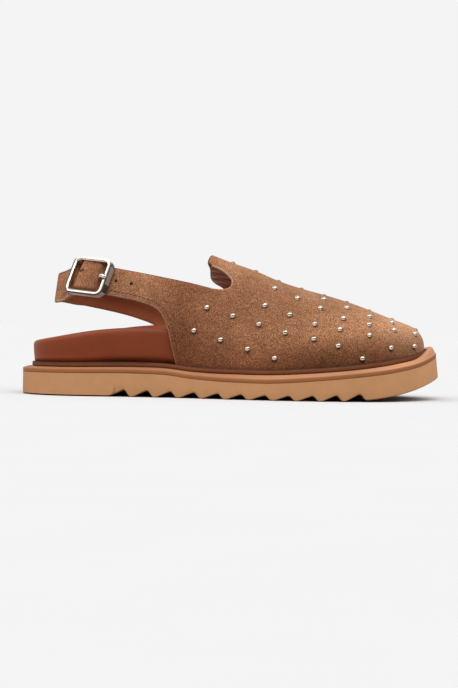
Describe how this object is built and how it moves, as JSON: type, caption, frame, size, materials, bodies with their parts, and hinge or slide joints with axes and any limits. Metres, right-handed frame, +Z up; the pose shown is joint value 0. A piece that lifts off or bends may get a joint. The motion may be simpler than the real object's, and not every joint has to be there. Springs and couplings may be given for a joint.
{
  "type": "studded slingback clog",
  "caption": "Closed-toe slingback clog for the right foot: hollow suede upper with dome studs, buckled heel strap, leather footbed, welt, midsole and ripple foam sole.",
  "frame": {"origin": "bottom centre of the bounding box, on the floor under the middle of the sole", "axes": "+X to the toe, +Y to the inner (medial) side of the foot, +Z up"},
  "size_m": [0.272, 0.1046, 0.0922],
  "materials": {
    "suede": "brushed suede",
    "footbed_leather": "smooth, half gloss",
    "welt_leather": "waxed edge",
    "midsole_leather": "waxed edge",
    "sole_foam": "matte foam rubber",
    "nickel": "polished nickel"
  },
  "bodies": {
    "root": {"outsole": "sole_foam", "midsole": "midsole_leather", "welt": "welt_leather", "footbed": "footbed_leather", "upper": "suede", "buckle_frame": "nickel", "buckle_prong": "nickel", "stud_01": "nickel", "stud_02": "nickel", "stud_03": "nickel", "stud_04": "nickel", "stud_05": "nickel", "stud_06": "nickel", "stud_07": "nickel", "stud_08": "nickel", "stud_09": "nickel", "stud_10": "nickel", "stud_11": "nickel", "stud_12": "nickel", "stud_13": "nickel", "stud_14": "nickel", "stud_15": "nickel", "stud_16": "nickel", "stud_17": "nickel", "stud_18": "nickel", "stud_19": "nickel", "stud_20": "nickel", "stud_21": "nickel", "stud_22": "nickel", "stud_23": "nickel", "stud_24": "nickel", "stud_25": "nickel", "stud_26": "nickel", "stud_27": "nickel", "stud_28": "nickel", "stud_29": "nickel", "stud_30": "nickel", "stud_31": "nickel", "stud_32": "nickel", "stud_33": "nickel", "stud_34": "nickel", "stud_35": "nickel", "stud_36": "nickel", "stud_37": "nickel", "stud_38": "nickel", "stud_39": "nickel", "stud_40": "nickel", "stud_41": "nickel", "stud_42": "nickel", "stud_43": "nickel", "stud_44": "nickel", "stud_45": "nickel", "stud_46": "nickel", "stud_47": "nickel", "stud_48": "nickel", "stud_49": "nickel", "stud_50": "nickel", "stud_51": "nickel", "stud_52": "nickel"}
  },
  "joints": []
}
